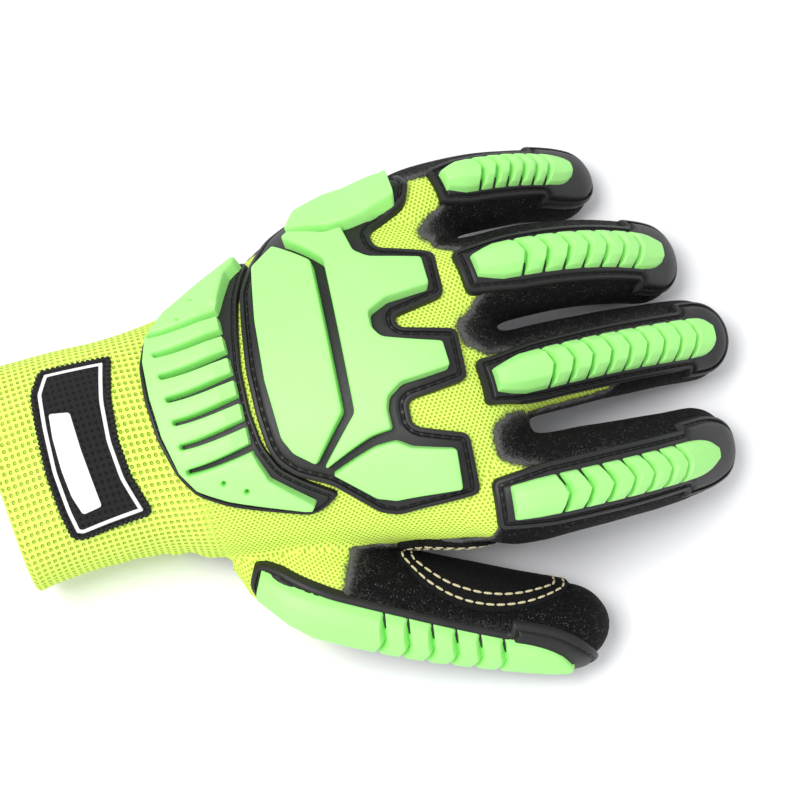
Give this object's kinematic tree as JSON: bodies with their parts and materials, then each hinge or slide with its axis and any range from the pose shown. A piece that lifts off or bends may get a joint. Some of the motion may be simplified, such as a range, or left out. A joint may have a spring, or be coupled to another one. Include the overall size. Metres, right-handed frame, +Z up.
{
  "type": "impact glove",
  "caption": "Left-hand impact work glove: knit shell with dipped palm coating, moulded rubber guards with raised pads on the back and digits, lying palm down.",
  "frame": {"origin": "centre of the glove's bounding box in plan, at the height of the surface it lies on", "axes": "+X from the cuff to the fingertips, +Y from the thumb to the little finger, +Z up out of the back of the hand"},
  "size_m": [0.2192, 0.1574, 0.0676],
  "materials": {
    "knit": "fine knitted yarn, high-visibility yellow-green",
    "coating": "matt sandy dipped coating",
    "guard_base": "moulded rubber, satin",
    "guard_pad": "moulded rubber, satin, light green",
    "patch": "grained black reinforcement, cream stitching",
    "label": "woven patch, black with a blank white write-on box"
  },
  "bodies": {
    "root": {"knit_shell": "knit", "palm_coating": "coating", "knuckle_guard_base": "guard_base", "hand_back_guard_base": "guard_base", "little_finger_guard_base": "guard_base", "ring_finger_guard_base": "guard_base", "middle_finger_guard_base": "guard_base", "index_finger_guard_base": "guard_base", "thumb_guard_base": "guard_base", "knuckle_pad_hand": "guard_pad", "knuckle_pad_middle": "guard_pad", "knuckle_pad_little": "guard_pad", "knuckle_pad_index": "guard_pad", "hand_back_pad": "guard_pad", "little_finger_guard_pad": "guard_pad", "ring_finger_guard_pad": "guard_pad", "middle_finger_guard_pad": "guard_pad", "index_finger_guard_pad": "guard_pad", "thumb_guard_pad": "guard_pad", "thumb_crotch_patch": "patch", "cuff_label": "label"}
  },
  "joints": []
}
